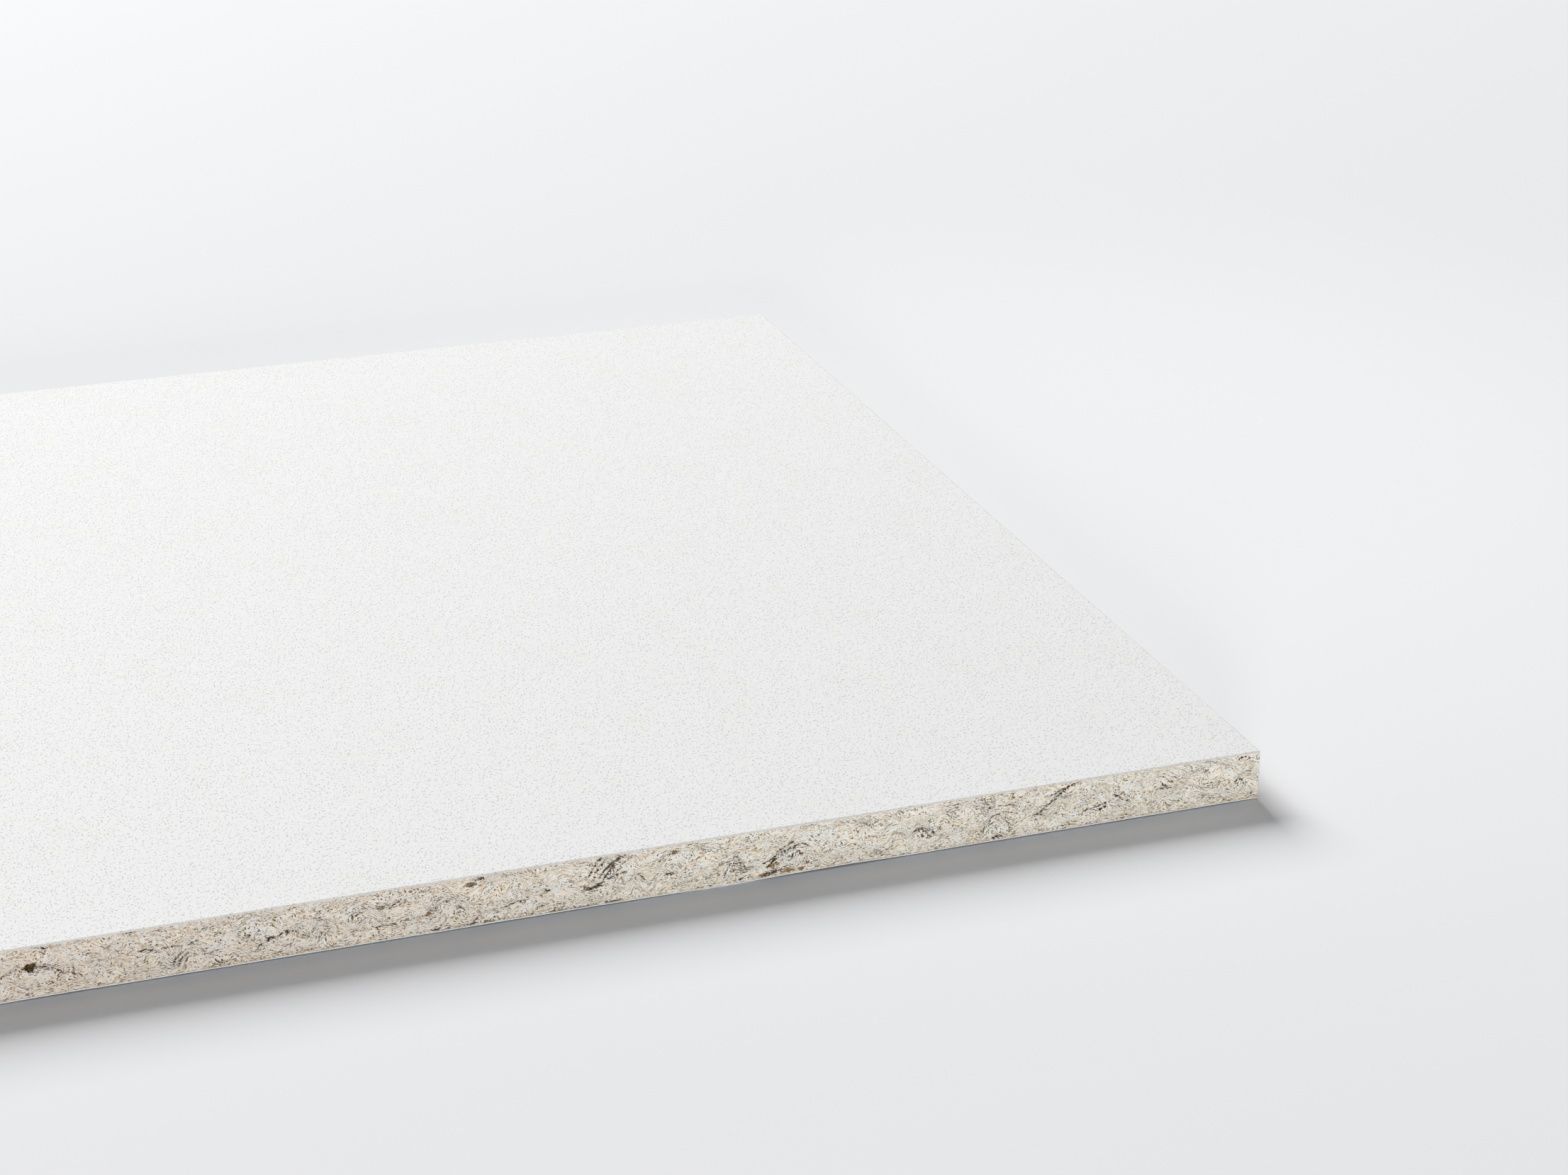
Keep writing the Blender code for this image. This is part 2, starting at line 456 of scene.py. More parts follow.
@dataclass(frozen=True)
class Streaks:
    """Streaks of one colour that run with the fibres. Sizes in millimetres."""

    colour: Colour
    length: float
    height: float
    start: float
    full: float
    amount: float
    shift: float
    clump: float = 0.0

    def share(self, r: Recipe, flow: Socket, crowd: Socket) -> Socket:
        """Work out how far the streaks cover each place.

        Args:
            r: the material under construction.
            flow: socket with the coordinates along and across the fibres.
            crowd: socket that says how much more of them there are.

        Returns:
            The socket of their share.
        """
        value = r.noise(flow, (self.length, self.height, 1.0), 1.0, self.shift)
        share = r.band(r.sums("ADD", value, crowd), self.start, self.full)
        return r.sums("MULTIPLY", share, self.amount)


@dataclass(frozen=True)
class WoolFinish:
    """Sawn stone wool: pale strands in several tones, with painted shade in the gaps between them
    and in its cracks and hollows.

    Grains are in millimetres. A zone says where a tone fades in, in millimetres below the face.
    The tint's zone and the bump's depth are in metres.
    """

    ground: Colour = srgb(235, 231, 222)
    chalk: Colour = srgb(231, 232, 230)
    strands: tuple[Streaks, ...] = (
        Streaks(srgb(237, 224, 207), 3.2, 0.42, 0.45, 0.58, 0.80, 11.3),
        Streaks(srgb(208, 190, 164), 3.0, 0.34, 0.53, 0.64, 0.80, 23.9),
        Streaks(srgb(248, 246, 241), 1.5, 0.33, 0.56, 0.67, 0.70, 37.1),
        Streaks(srgb(170, 148, 118), 1.7, 0.30, 0.56, 0.65, 0.75, 43.7),
    )
    # Dark streaks: painted shade in the gaps between the strands; they also sink the bump there.
    gap_shade_streaks: tuple[Streaks, ...] = (
        Streaks(srgb(104, 83, 59), 1.05, 0.38, 0.635, 0.685, 0.90, 53.3, 0.030),
        Streaks(srgb(68, 53, 37), 0.66, 0.34, 0.655, 0.70, 0.92, 61.9, 0.025),
        Streaks(srgb(76, 58, 38), 1.5, 0.56, 0.71, 0.745, 0.88, 67.3, 0.065),
    )
    left_end: Colour = (0.785, 0.752, 0.730, 1.0)
    right_end: Colour = (0.868, 0.871, 0.855, 1.0)
    tint_zone: Span = (-0.20, 0.15)
    # Painted shade: the first darkens the cracks and hollows; olive, the resin's own tone, is also
    # painted as shade deep in the hollows.
    painted_crack_shade: Colour = srgb(66, 52, 36)
    olive_resin_and_hollow_shade: Colour = srgb(116, 96, 52)
    ochre: Colour = srgb(142, 104, 58)
    paint: Colour = srgb(238, 238, 237)
    paint_zone: Span = (1.75, 1.0)
    paint_fray: float = 1.8
    tissue: Colour = srgb(236, 233, 226)
    tissue_zone: Span = (19.0, 19.5)
    tissue_fray: float = 0.9
    back_zone: Span = (16.5, 19.2)
    back_strands: float = 0.05
    chalk_grain: Triple = (8.0, 3.0, 1.0)
    chalk_share: float = 0.7
    chalk_in_dense: float = 0.6
    chalk_bareness: float = 0.09
    fray_grain: Triple = (1.3, 0.45, 1.0)
    fray: float = 2.0
    clot_cover: float = 0.85
    crowd_grain: Triple = (7.0, 3.5, 1.0)
    crowd: Span = (0.22, -0.12)
    hollow_shade_crowd: float = 0.05
    relief_grain: Triple = (1.6, 0.36, 1.0)
    relief_share: float = 0.7
    bump_depth: float = 0.00035

    def material(self) -> bpy.types.Material:
        """Build the finish.

        Returns:
            The finished material.
        """
        r = Recipe("sawn_stone_wool")
        flow = r.attribute("wool_flow", "Vector")
        gap, pale, dense, resin, below = (
            r.attribute("wool_" + name) for name in ("gap", "pale", "dense", "resin", "below")
        )

        zones = r.band(r.noise(flow, self.chalk_grain, 1.0, shift=3.1), 0.38, 0.62)
        chalky = r.sums("MAXIMUM", r.sums("MULTIPLY", zones, self.chalk_share), pale)
        chalky = r.sums("MAXIMUM", chalky, r.sums("MULTIPLY", dense, self.chalk_in_dense))
        colour = r.blend(chalky, self.ground, self.chalk)
        bare = r.sums("MULTIPLY", r.sums("POWER", chalky, 2.0), self.chalk_bareness)
        more = r.sums("MULTIPLY", r.band(below, *self.back_zone), self.back_strands)
        more = r.sums("SUBTRACT", more, bare)
        for strand in self.strands:
            colour = r.blend(strand.share(r, flow, more), colour, strand.colour)
        ragged = r.noise(flow, self.fray_grain, shift=71.7)
        frayed = r.sums("MULTIPLY_ADD", ragged, self.fray, -0.5 * self.fray)
        clots = r.band(r.sums("ADD", resin, frayed), 0.50, 0.70)
        clot_tone = r.blend(r.band(ragged, 0.5, 0.7), self.ochre, self.olive_resin_and_hollow_shade)
        colour = r.blend(r.sums("MULTIPLY", clots, self.clot_cover), colour, clot_tone)

        crowd = r.noise(flow, self.crowd_grain, 1.0, shift=31.9)
        crowd = r.sums("MULTIPLY_ADD", crowd, *self.crowd)
        # Near the hollows and cracks the painted gap shade crowds more.
        crowd = r.sums("MULTIPLY_ADD", r.band(gap, 0.6, 0.1), self.hollow_shade_crowd, crowd)
        crowded = r.sums("MAXIMUM", dense, clots)
        depth: Any = 0.0
        # Painted shade: dark streaks in the gaps between strands, which also set the bump's depth.
        for gap_shade_streaks in self.gap_shade_streaks:
            share = gap_shade_streaks.share(r, flow, r.sums("MULTIPLY_ADD", crowded, gap_shade_streaks.clump, crowd))
            colour = r.blend(share, colour, gap_shade_streaks.colour)
            depth = r.sums("MAXIMUM", depth, share)

        # Painted shade inside the cracks and hollows: dark brown in all of them, olive deep in the
        # hollows.
        rough_gap = r.sums("ADD", gap, frayed)
        colour = r.blend(r.band(rough_gap, 0.12, -0.08), colour, self.painted_crack_shade)
        colour = r.blend(r.band(rough_gap, -0.40, -0.75), colour, self.olive_resin_and_hollow_shade)

        upper = r.sums("MULTIPLY_ADD", ragged, self.paint_fray, below)
        colour = r.blend(r.band(upper, *self.paint_zone), colour, self.paint)
        lower = r.sums("MULTIPLY_ADD", ragged, -self.tissue_fray, below)
        colour = r.blend(r.band(lower, *self.tissue_zone), colour, self.tissue)

        along = r.add("SeparateXYZ", {0: r.place()}).outputs[0]
        tint = r.blend(r.band(along, *self.tint_zone), self.left_end, self.right_end)
        colour = r.blend(1.0, colour, tint, "MULTIPLY")

        relief = r.noise(flow, self.relief_grain, 1.0, shift=23.9)
        height = r.sums("SUBTRACT", r.sums("MULTIPLY", relief, self.relief_share), depth)
        return r.finished(
            Base_Color=colour,
            Roughness=0.95,
            Specular_IOR_Level=0.15,
            Normal=r.bump(height, self.bump_depth),
        )


@dataclass(frozen=True)
class PaintFinish:
    """Matt white paint on glass fleece, with fine pits, bumped and darkened with painted shade.
    Its cut side shows the bare fleece.
    """

    top: float
    white: Colour = (0.790, 0.787, 0.786, 1.0)
    # The pits' colour is painted shade.
    painted_pit_shade: Colour = (0.540, 0.538, 0.537, 1.0)
    bare: Colour = srgb(203, 198, 189)
    grain: Triple = (0.0005, 0.0005, 0.0005)
    grain_share: float = 0.7
    pit_size: Triple = (0.0007, 0.0012, 0.0009)
    pit_rim: Span = (0.45, 0.17)
    pit_depth: float = 0.00006
    side_zone: Span = (0.00012, -0.00018)
    side_fray: float = 0.0004

    def material(self) -> bpy.types.Material:
        """Build the finish.

        Returns:
            The finished material.
        """
        r = Recipe("white_tile_paint")
        spot = r.place()
        # The pits sink the bump and darken the paint with painted shade.
        pits = r.band(r.noise(spot, self.pit_size, 0.0, shift=5.0), *self.pit_rim)
        grain = r.noise(spot, self.grain, shift=2.0)
        height = r.sums("SUBTRACT", r.sums("MULTIPLY", grain, self.grain_share), pits)
        level = r.add("SeparateXYZ", {0: spot}).outputs[2]
        worn = r.sums("MULTIPLY_ADD", grain, self.side_fray, level)
        side = r.band(worn, *(self.top + step for step in self.side_zone))
        return r.finished(
            Base_Color=r.blend(side, r.blend(pits, self.white, self.painted_pit_shade), self.bare),
            Roughness=0.74,
            Specular_IOR_Level=0.45,
            Sheen_Weight=0.8,
            Sheen_Roughness=0.3,
            Normal=r.bump(height, self.pit_depth),
        )


@dataclass(frozen=True)
class BackFleeceFinish:
    """Thin glass fleece, a tangle of pale fibres that the wool shows through."""

    pale: Colour = srgb(216, 214, 208)
    thin: Colour = srgb(212, 208, 200)
    fibre: Triple = (0.012, 0.00035, 1.0)
    fibre_turns: tuple[int, ...] = (8, 47, 83, 122, 161)
    fibre_share: float = 0.6
    cloud: Triple = (0.02, 0.02, 0.02)
    cloud_share: float = 0.4
    bump_depth: float = 0.00012

    def material(self) -> bpy.types.Material:
        """Build the finish.

        Returns:
            The finished material.
        """
        r = Recipe("pale_back_fleece")
        spot = r.place()
        tangle: Any = 0.0
        for degrees in self.fibre_turns:
            turn = {"Vector": spot, "Angle": math.radians(degrees)}
            turned = r.add("VectorRotate", turn, rotation_type="Z_AXIS").outputs[0]
            strand = r.noise(turned, self.fibre, 1.0, shift=degrees / 7)
            tangle = r.sums("MAXIMUM", tangle, r.band(strand, 0.60, 0.68))
        cloud = r.band(r.noise(spot, self.cloud, 3.0, shift=4.0), 0.35, 0.65)
        cloud = r.sums("MULTIPLY", cloud, self.cloud_share)
        share = r.sums("MULTIPLY_ADD", tangle, self.fibre_share, cloud)
        return r.finished(
            Base_Color=r.blend(share, self.thin, self.pale),
            Roughness=0.9,
            Specular_IOR_Level=0.2,
            Normal=r.bump(share, self.bump_depth),
        )


def add_object(name: str, data: bpy.types.ID) -> bpy.types.Object:
    """Add an object to the scene.

    Args:
        name: the object's name.
        data: its mesh, light or camera.

    Returns:
        The new object.
    """
    made = bpy.data.objects.new(name, data)
    bpy.context.scene.collection.objects.link(made)
    return made


def quad_corners(grid: Array) -> Array:
    """Return the four values round each quad of a grid."""
    return np.stack([grid[:-1, :-1], grid[:-1, 1:], grid[1:, 1:], grid[1:, :-1]], axis=-1)


def make_piece(
    name: str,
    points: Array,
    faces: Iterable[Sequence[int]],
    material: bpy.types.Material,
    node: str,
    crease: float = 180.0,
) -> bpy.types.Object:
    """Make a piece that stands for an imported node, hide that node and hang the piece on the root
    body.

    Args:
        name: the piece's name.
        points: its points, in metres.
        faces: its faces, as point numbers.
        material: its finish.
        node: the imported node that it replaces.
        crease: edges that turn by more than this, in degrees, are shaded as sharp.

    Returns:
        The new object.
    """
    mesh = bpy.data.meshes.new(name)
    mesh.from_pydata(points.tolist(), [], [list(face) for face in faces])
    mesh.shade_smooth()
    mesh.set_sharp_from_angle(angle=math.radians(crease))
    mesh.materials.append(material)
    piece = add_object(name, mesh)
    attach(piece, "root")
    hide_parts(node)
    LOG.info("%s: %d points, %d faces", name, len(mesh.vertices), len(mesh.polygons))
    return piece


@dataclass
class RimWave:
    """How the underside's rim lifts off the floor, as the wool there springs up. Millimetres."""

    usual: float = 0.36
    sway: float = 0.16
    sway_length: float = 31.0
    sag: Triple = (375.0, 19.0, -0.40)
    hump: Triple = (420.0, 18.0, 0.34)
    most: float = 0.95
    seed: int = 71

    def lift(self, round_board: Array) -> Array:
        """Return the rim's height at distances round the board.

        Args:
            round_board: distances from the front left corner, in millimetres.

        Returns:
            Heights above the floor, in millimetres.
        """
        noise = SmoothNoise(self.seed)
        height = self.usual + self.sway * noise.at(round_board / self.sway_length, round_board * 0)
        for centre, spread, rise in (self.sag, self.hump):
            height = height + rise * np.exp(-(((round_board - centre) / spread) ** 2))
        return np.clip(height, 0.0, self.most)


@dataclass
class CutEdge:
    """One sawn edge, with a row of places for each height and a column for each step along it.

    Millimetres.
    """

    wool: EdgeWool
    along: Array
    below: Array
    thickness: float
    seed: int
    fold_rise: float = 2.9
    rise_cell: Span = (9.5, 9.0)
    fold_sway: float = 2.4
    sway_cell: Span = (16.0, 10.0)
    ripple: float = 0.75
    shiver_cell: Span = (4.6, 3.4)
    ripple_cell: Span = (3.8, 3.6)
    plain_margin: float = 4.5
    least_free: float = 0.15
    least_calm: float = 0.3
    sides_apart: float = 700.0
    fray: float = 0.35
    fray_cell: Span = (1.3, 0.9)
    patch_cell: Span = (1.6, 1.1)
    layer_cell: Span = (6.0, 1.3)
    strand_cell: Span = (2.6, 0.9)
    lump_cell: Span = (9.0, 6.0)
    rim_margin: Span = (1.8, 0.5)
    rim_calm: float = 0.7
    far: float = 4.0
    least_recess: float = 0.06

    def flow(self) -> tuple[Array, Array]:
        """Work out coordinates that run with the crimped fibres.

        Returns:
            The coordinate along the fibres and the one across them.
        """
        u, v = self.along, self.below
        for swirl in self.wool.swirls:
            u, v = swirl.curl(u, v)
        inner = soft_step(self._from_rim(), 0.0, self.plain_margin)
        free = self.least_free + (1 - self.least_free) * inner
        calm = self.ripple * (self.least_calm + (1 - self.least_calm) * free)
        u = u + self.fold_sway * free * waves(self.seed + 11, u, v, self.sway_cell)
        v = v + self.fold_rise * free * waves(self.seed + 12, u, v, self.rise_cell)
        u = u + calm * waves(self.seed + 13, u, v, self.shiver_cell)
        v = v + calm * waves(self.seed + 14, u, v, self.ripple_cell)
        return u + self.sides_apart * self.seed, v

    def _from_rim(self) -> Array:
        """Return how far each place is from the nearer fleece."""
        return np.minimum(self.below, self.thickness - self.below)

    def _gaps(self) -> Iterable[tuple[Array, Array]]:
        """Measure the hollows and cracks, whose rims stray from their plain shape.

        Returns:
            For each of them, how far the places are from it, and how far it sets the wool back.
        """
        ragged = self.fray * waves(self.seed + 4, self.along, self.below, self.fray_cell)
        for hollow in self.wool.hollows:
            reach = hollow.reach(self.along, self.below) + ragged
            yield (reach - 1.0) * hollow.height / 2, hollow.depth * soft_step(reach, 1.2, 0.1)
        for crack in self.wool.cracks:
            reach = crack.reach(self.along, self.below) + 0.5 * ragged
            rim = 0.4 + 0.5 * crack.width
            yield reach - crack.width / 2, crack.depth * soft_step(reach, rim, 0.0)

    def gap_distance(self) -> Array:
        """Measure how far each place is from a gap in the wool.

        Returns:
            The distances, less than 0 inside a gap.
        """
        nearest = np.full(self.along.shape, self.far)
        for distance, _ in self._gaps():
            nearest = np.minimum(nearest, distance)
        return nearest

    def share(self, patches: Iterable[Patch]) -> Array:
        """Work out how far each place lies in one of some patches.

        Args:
            patches: the patches.

        Returns:
            Shares from 0 to 1.
        """
        share = np.zeros(self.along.shape)
        ragged = self.fray * waves(self.seed + 5, self.along, self.below, self.patch_cell)
        for patch in patches:
            inside = soft_step(patch.reach(self.along, self.below) + ragged, 1.2, 0.4)
            share = np.maximum(share, inside)
        return share

    def recess(self, u: Array, v: Array) -> Array:
        """Work out how far the wool stands back from the saw line.

        Args:
            u: coordinate along the fibres.
            v: coordinate across the fibres.

        Returns:
            The recess at each place.
        """
        layers = np.abs(waves(self.seed + 1, u, v, self.layer_cell))
        strands = waves(self.seed + 2, u, v, self.strand_cell)
        lumps = waves(self.seed + 3, u, v, self.lump_cell)
        recess = 0.34 + 0.14 * layers + 0.16 * strands + 0.14 * lumps
        recess = recess * (1 - self.rim_calm * soft_step(self._from_rim(), *self.rim_margin))
        for _, set_back in self._gaps():
            recess = recess + set_back
        return np.clip(recess, self.least_recess, None)


@dataclass
class WoolCore:
    """The board of crimped stone wool, with its four sawn edges. Millimetres."""

    length: float
    width: float
    low: float
    high: float
    face_height: float
    wave: RimWave
    front_columns: int = 1280
    other_columns: int = 490
    rows: int = 34
    corner_wear: float = 1.8
    corner_cut: float = 0.24
    corner_sway: float = 0.30
    sway_height: float = 0.9
    corners_apart: float = 3.7
    swirl_step: float = 21.0
    crack_bundles: int = 24
    seed: int = 20

    def _other(self, side: Side) -> EdgeWool:
        """Return an edge that the photograph doesn't show, in the same manner.

        Args:
            side: which edge.

        Returns:
            Its swirls, hollows, cracks and patches.
        """
        rng = np.random.default_rng(self.seed + side.value)

        def patches(count: int, longest: float, tallest: float, deepest: float) -> list[Patch]:
            """Scatter oval places over the edge."""
            places = []
            for _ in range(count):
                along, below = rng.uniform(6, self.length - 6), rng.uniform(4, 16)
                length, height = rng.uniform(0.4, 1.0) * longest, rng.uniform(0.5, 1.0) * tallest
                tilt, depth = rng.uniform(-30, 30), rng.uniform(0.5, 1.0) * deepest
                places.append(Patch(along, below, length, height, tilt, depth))
            return places

        ovals = {
            "hollows": patches(4, 4.5, 1.3, 1.0),
            "pale": patches(14, 17.0, 6.0, 0.0),
            "dense": patches(26, 15.0, 7.0, 0.0),
            "resin": patches(9, 7.0, 2.2, 0.0),
        }
        swirls, cracks = [], []
        for place in np.arange(12.0, self.length - 8, self.swirl_step):
            turn = rng.choice([-1, 1]) * rng.uniform(45, 75)
            centre = place + rng.uniform(-6, 6)
            swirls.append(Swirl(centre, rng.uniform(6, 14), rng.uniform(7, 11), turn))
        for _ in range(self.crack_bundles):
            start, depth = rng.uniform(5, self.length - 20), rng.uniform(4, 16)
            runs = start + np.cumsum(rng.uniform(1, 4, 4))
            falls = depth + np.cumsum(rng.uniform(-2.4, 2.4, 4))
            for line in range(rng.integers(1, 4)):
                shifted = np.clip(falls + 1.3 * line, 2, 18)
                points = np.stack([runs + 0.8 * line, shifted], axis=-1).reshape(-1).tolist()
                cracks.append(Crack(points, rng.uniform(0.1, 0.3), 0.5))
        return EdgeWool(swirls=swirls, cracks=cracks, **ovals)

    def _corner(self, number: int) -> Array:
        """Return a corner of the saw line, counted from the front left one."""
        half_l, half_w = self.length / 2, self.width / 2
        corners = ((-half_l, -half_w), (half_l, -half_w), (half_l, half_w), (-half_l, half_w))
        return np.array(corners[number % 4])

    def _shape_edge(self, side: Side, around: float) -> tuple[Array, dict[str, Array]]:
        """Shape one edge.

        Args:
            side: which edge.
            around: distance round the board at which it begins.

        Returns:
            Its points in rows and columns, without the last column, where the next edge begins,
            and the values that the finish reads, in all its columns.
        """
        count = self.front_columns if side is Side.FRONT else self.other_columns
        number = side.value
        start, end, before = (self._corner(number + step) for step in (0, 1, -1))
        reach = float(np.linalg.norm(end - start))
        onward = (end - start) / reach
        outward = np.array([onward[1], -onward[0]])
        along = np.linspace(0.0, reach, count + 1)
        low = self.low + self.wave.lift(around + along)
        height = low + np.linspace(0.0, 1.0, self.rows + 1)[:, None] * (self.high - low)
        below = self.face_height - height
        wool = FRONT_WOOL if side is Side.FRONT else self._other(side)
        grid = np.broadcast_to(along, height.shape)
        edge = CutEdge(wool, grid, below, self.face_height - self.low, self.seed + 20 * number)

        u, v = edge.flow()
        recess = edge.recess(u, v)
        corner = np.where(along < reach / 2, number, (number + 1) % 4)
        sway = SmoothNoise(self.seed + 5).at(below / self.sway_height, self.corners_apart * corner)
        worn = self.corner_cut + self.corner_sway * sway
        near = soft_step(np.minimum(along, reach - along), self.corner_wear, 0.0)
        recess = recess + (np.clip(worn, 0.02, None) - recess) * near
        points = np.empty((*height.shape, 3))
        points[..., :2] = start + along[:, None] * onward - recess[..., None] * outward
        backward = (before - start) / np.linalg.norm(before - start)
        points[:, 0, :2] = start + recess[:, :1] * (onward + backward)
        points[..., 2] = height
        values = {
            "u": u,
            "v": v,
            "gap": edge.gap_distance(),
            "pale": edge.share(wool.pale),
            "dense": edge.share(wool.dense),
            "resin": edge.share(wool.resin),
            "below": below,
        }
        return points[:, :-1], values

    def build(self) -> bpy.types.Object:
        """Build the core.

        Returns:
            The finished piece.
        """
        starts = (0.0, self.length, self.length + self.width, 2 * self.length + self.width)
        edges = [self._shape_edge(side, start) for side, start in zip(Side, starts)]
        grid = np.concatenate([points for points, _ in edges], axis=1)
        columns = grid.shape[1]
        middle = np.array([[0, 0, self.low + self.wave.usual], [0, 0, self.high]])
        points = np.concatenate([grid.reshape(-1, 3), middle]) * MM

        row, column = np.arange(self.rows)[:, None], np.arange(columns)[None]
        after = (column + 1) % columns
        here, above = row * columns, (row + 1) * columns
        quads = np.stack([here + column, here + after, above + after, above + column], axis=-1)
        ring = np.arange(columns)
        following = np.roll(ring, -1)
        top = self.rows * columns
        low_middle, high_middle = (np.full(columns, len(points) - step) for step in (2, 1))
        under = np.stack([following, ring, low_middle], axis=-1)
        over = np.stack([top + ring, top + following, high_middle], axis=-1)
        faces = quads.reshape(-1, 4).tolist() + under.tolist() + over.tolist()
        finish = WoolFinish().material()
        piece = make_piece("wool_core", points, faces, finish, "stone_wool_core")
        self._write_values(piece.data, [values for _, values in edges])
        return piece

    def _write_values(self, mesh: bpy.types.Mesh, edges: list[dict[str, Array]]) -> None:
        """Store what the finish reads on the mesh's face corners.

        Args:
            mesh: the core's mesh.
            edges: the values of each edge, by name.
        """

        def on_corners(name: str, elsewhere: float) -> Array:
            """Spread one value over the four corners of each quad, then over the plain caps."""
            quads = [quad_corners(values[name]) for values in edges]
            corners = np.concatenate(quads, axis=1).reshape(-1)
            return np.concatenate([corners, np.full(len(mesh.loops) - len(corners), elsewhere)])

        across = on_corners("v", 0.0)
        flow = np.stack([on_corners("u", 0.0), across, np.zeros_like(across)], axis=-1)
        attribute = mesh.attributes.new("wool_flow", "FLOAT_VECTOR", "CORNER")
        attribute.data.foreach_set("vector", flow.reshape(-1))
        plain = {"gap": CutEdge.far, "pale": 0.0, "dense": 0.0, "resin": 0.0, "below": 10.0}
        for name, elsewhere in plain.items():
            attribute = mesh.attributes.new("wool_" + name, "FLOAT", "CORNER")
            attribute.data.foreach_set("value", on_corners(name, elsewhere))


@dataclass
class Fleece:
    """A thin fleece over the whole board, as a grid with close lines near its rim. Metres."""

    length: float
    width: float
    low: float
    high: float
    columns: int
    rows: int
    rim_lines: tuple[float, ...] = (0.0, 0.00012, 0.0003, 0.0006, 0.0011, 0.002, 0.0035)
    crease: float = 50.0

    def _lines(self, reach: float, count: int) -> Array:
        """Place the grid lines across one direction.

        Args:
            reach: the fleece's size that way.
            count: how many lines it has.

        Returns:
            Their places from one rim to the other.
        """
        rim = np.array(self.rim_lines)
        inner = np.linspace(-reach / 2 + rim[-1], reach / 2 - rim[-1], count - 2 * len(rim) + 2)
        return np.concatenate([-reach / 2 + rim[:-1], inner, (reach / 2 - rim[:-1])[::-1]])

    def _grid(self) -> tuple[Array, Array, Array]:
        """Lay out the grid.

        Returns:
            The X and Y of its points, and their distance from the nearest rim.
        """
        x = self._lines(self.length, self.columns)
        y = self._lines(self.width, self.rows)
        x, y = np.meshgrid(x, y)
        inset = np.minimum(self.length / 2 - np.abs(x), self.width / 2 - np.abs(y))
        return x, y, inset

    def _pull(self, x: Array, y: Array, pull: Array) -> tuple[Array, Array]:
        """Draw the grid's points in from its rim by some distances."""
        return x * (1 - 2 * pull / self.length), y * (1 - 2 * pull / self.width)

    @staticmethod
    def _ring(grid: Array) -> Array:
        """Return a grid's outermost values, in order round it."""
        return np.concatenate([grid[0, :-1], grid[:-1, -1], grid[-1, :0:-1], grid[:0:-1, 0]])

    def _sheet(
        self, x: Array, y: Array, z: Array, rim: Array, upward: bool
    ) -> tuple[Array, list[list[int]]]:
        """Close a modelled surface with a rim and a plain hidden side.

        Args:
            x: the grid's X.
            y: the grid's Y.
            z: the surface's height.
            rim: points of the rim's other edge, in the order of the ring.
            upward: whether the surface faces up.

        Returns:
            The points and the faces.
        """
        numbers = np.arange(self.rows * self.columns).reshape(self.rows, self.columns)
        ring = self._ring(numbers)
        other = numbers.size + np.arange(len(ring))
        centre = np.full(len(ring), numbers.size + len(ring))
        surface = np.stack([x, y, z], axis=-1).reshape(-1, 3)
        points = np.concatenate([surface, rim, [[0.0, 0.0, float(rim[:, 2].mean())]]])
        wall = np.stack([ring, other, np.roll(other, -1), np.roll(ring, -1)], axis=-1)
        cap = np.stack([np.roll(other, -1), other, centre], axis=-1)
        faces = [quad_corners(numbers).reshape(-1, 4), wall, cap]
        if not upward:
            faces = [part[:, ::-1] for part in faces]
        return points, [face for part in faces for face in part.tolist()]


@dataclass
class FaceFleece(Fleece):
    """The painted fleece on the face."""

    swell: float = 0.00007
    broad_cell: Span = (0.034, 0.034)
    small_cell: Span = (0.009, 0.009)
    rim_drop: float = 0.00022
    drop_width: float = 0.0006
    rim_wander: float = 0.00016
    wander_width: float = 0.003
    wander_cell: Span = (0.0023, 0.0023)
    drift_cell: Span = (0.011, 0.011)
    lip: float = 0.00035
    lip_cell: Span = (0.0017, 0.0017)
    lip_tuck: float = 0.9999
    seed: int = 51

    def build(self) -> bpy.types.Object:
        """Build the painted face.

        Returns:
            The finished piece.
        """
        x, y, inset = self._grid()
        broad = waves(self.seed, x, y, self.broad_cell)
        small = waves(self.seed + 1, x, y, self.small_cell)
        dip = self.swell * (1 + 0.6 * broad + 0.4 * small)
        drop = self.rim_drop * (1 - np.clip(inset / self.drop_width, 0, 1)) ** 2
        z = self.high - dip - drop
        wander = waves(self.seed + 2, x, y, self.wander_cell) * 0.6
        wander = wander + waves(self.seed + 3, x, y, self.drift_cell) * 0.4
        near = 1 - np.clip(inset / self.wander_width, 0, 1)
        x, y = self._pull(x, y, self.rim_wander * (0.5 + 0.5 * wander) * near)
        rim_x, rim_y = self._ring(x), self._ring(y)
        hang = 0.5 + 0.5 * waves(self.seed + 4, rim_x, rim_y, self.lip_cell)
        tuck = self.lip_tuck
        rim = np.stack([rim_x * tuck, rim_y * tuck, self.low - self.lip * hang], axis=-1)
        points, faces = self._sheet(x, y, z, rim, upward=True)
        finish, node = PaintFinish(self.high).material(), "painted_face_fleece"
        return make_piece("painted_face", points, faces, finish, node, self.crease)


